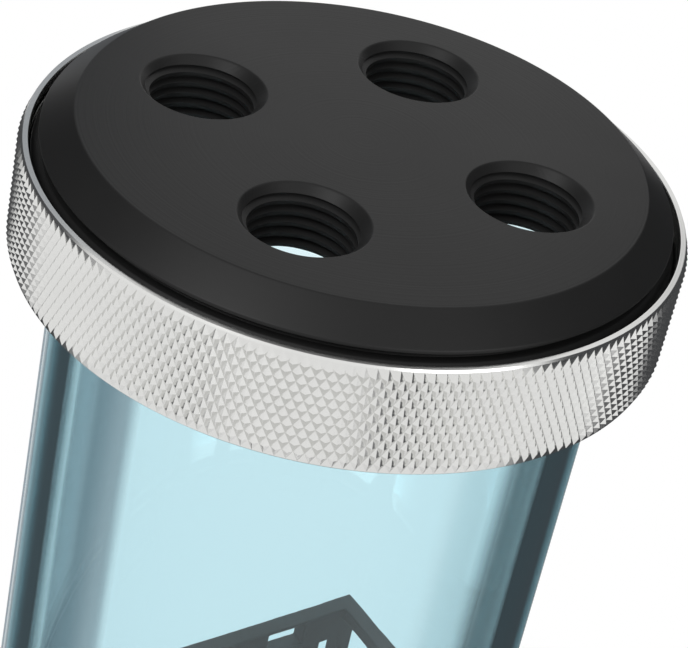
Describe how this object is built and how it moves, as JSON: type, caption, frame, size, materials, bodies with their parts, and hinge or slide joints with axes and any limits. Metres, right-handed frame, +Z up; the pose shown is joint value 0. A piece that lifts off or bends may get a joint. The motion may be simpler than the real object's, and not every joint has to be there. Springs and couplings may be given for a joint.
{
  "type": "coolant pump reservoir",
  "caption": "Clear tube reservoir for a liquid-cooling loop, with a ported cap, knurled compression rings and a base with a centrifugal pump.",
  "frame": {"origin": "middle of the underside, on the surface it stands on", "axes": "+Z up along the tube; +X out of the outlet; X and Y along the sides of the square base"},
  "size_m": [0.082, 0.082, 0.1877],
  "materials": {
    "acetal": "turned",
    "tinted_acrylic": "polished",
    "knurled_aluminium": "knurled, satin",
    "washer_nylon": "smooth",
    "seal_rubber": "smooth",
    "plug_nickel": "nickel plated",
    "anodised_black": "anodised",
    "well_steel": "drawn",
    "pin_steel": "ground",
    "ball_ceramic": "polished ceramic",
    "cup_carbon": "sintered",
    "rotor_plastic": "moulded",
    "magnet_ferrite": "sintered",
    "can_plastic": "moulded",
    "stator_steel": "laminated",
    "winding_copper": "enamelled copper",
    "board_green": "lacquered",
    "component_epoxy": "moulded",
    "pot_blue": "moulded",
    "dial_red": "moulded",
    "gland_rubber": "moulded"
  },
  "bodies": {
    "reservoir": {"top_cap": "acetal", "top_tube_seal": "seal_rubber", "reservoir_tube": "tinted_acrylic", "vortex_cage": "acetal", "bottom_tube_seal": "seal_rubber", "pump_housing": "acetal", "outlet_plug": "plug_nickel", "outlet_plug_seal": "seal_rubber", "pump_flange_seal": "seal_rubber", "retaining_ring": "anodised_black", "rotor_well": "well_steel", "bearing_pin": "pin_steel", "bearing_ball": "ball_ceramic", "motor_can": "can_plastic", "can_cover": "can_plastic", "cover_screws": "pin_steel", "stator_core": "stator_steel", "stator_windings": "winding_copper", "circuit_board": "board_green", "board_components": "component_epoxy", "speed_pot": "pot_blue", "cable_gland": "gland_rubber"},
    "top_washer": {"top_slip_washer": "washer_nylon"},
    "top_ring": {"top_ring": "knurled_aluminium"},
    "bottom_washer": {"bottom_slip_washer": "washer_nylon"},
    "bottom_ring": {"bottom_ring": "knurled_aluminium"},
    "rotor": {"bearing_cup": "cup_carbon", "rotor_shell": "rotor_plastic", "rotor_magnet": "magnet_ferrite", "impeller": "rotor_plastic", "impeller_shroud": "rotor_plastic"},
    "speed_dial": {"speed_dial": "dial_red"}
  },
  "joints": [
    {"name": "top_washer_slide", "type": "slide", "parent": "reservoir", "child": "top_washer", "axis": [0, 0, -1], "range_m": [0, 0.006]},
    {"name": "top_ring_turn", "type": "hinge", "parent": "top_washer", "child": "top_ring", "pos_m": [0, 0, 0.177], "axis": [0, 0, -1], "range_deg": [0, 1440]},
    {"name": "bottom_washer_slide", "type": "slide", "parent": "reservoir", "child": "bottom_washer", "axis": [0, 0, 1], "range_m": [0, 0.006]},
    {"name": "bottom_ring_turn", "type": "hinge", "parent": "bottom_washer", "child": "bottom_ring", "pos_m": [0, 0, 0.073], "axis": [0, 0, 1], "range_deg": [0, 1440]},
    {"name": "impeller_spin", "type": "hinge", "parent": "reservoir", "child": "rotor", "pos_m": [0, 0, 0.0415], "axis": [0, 0, 1], "continuous": true},
    {"name": "speed_dial_turn", "type": "hinge", "parent": "reservoir", "child": "speed_dial", "pos_m": [0.016, 0, 0.001], "axis": [0, 0, -1], "range_deg": [0, 240]}
  ],
  "couplings": [
    {"joint": "top_washer_slide", "follows": "top_ring_turn", "m_per_rad": 0.00023873},
    {"joint": "bottom_washer_slide", "follows": "bottom_ring_turn", "m_per_rad": 0.00023873}
  ]
}
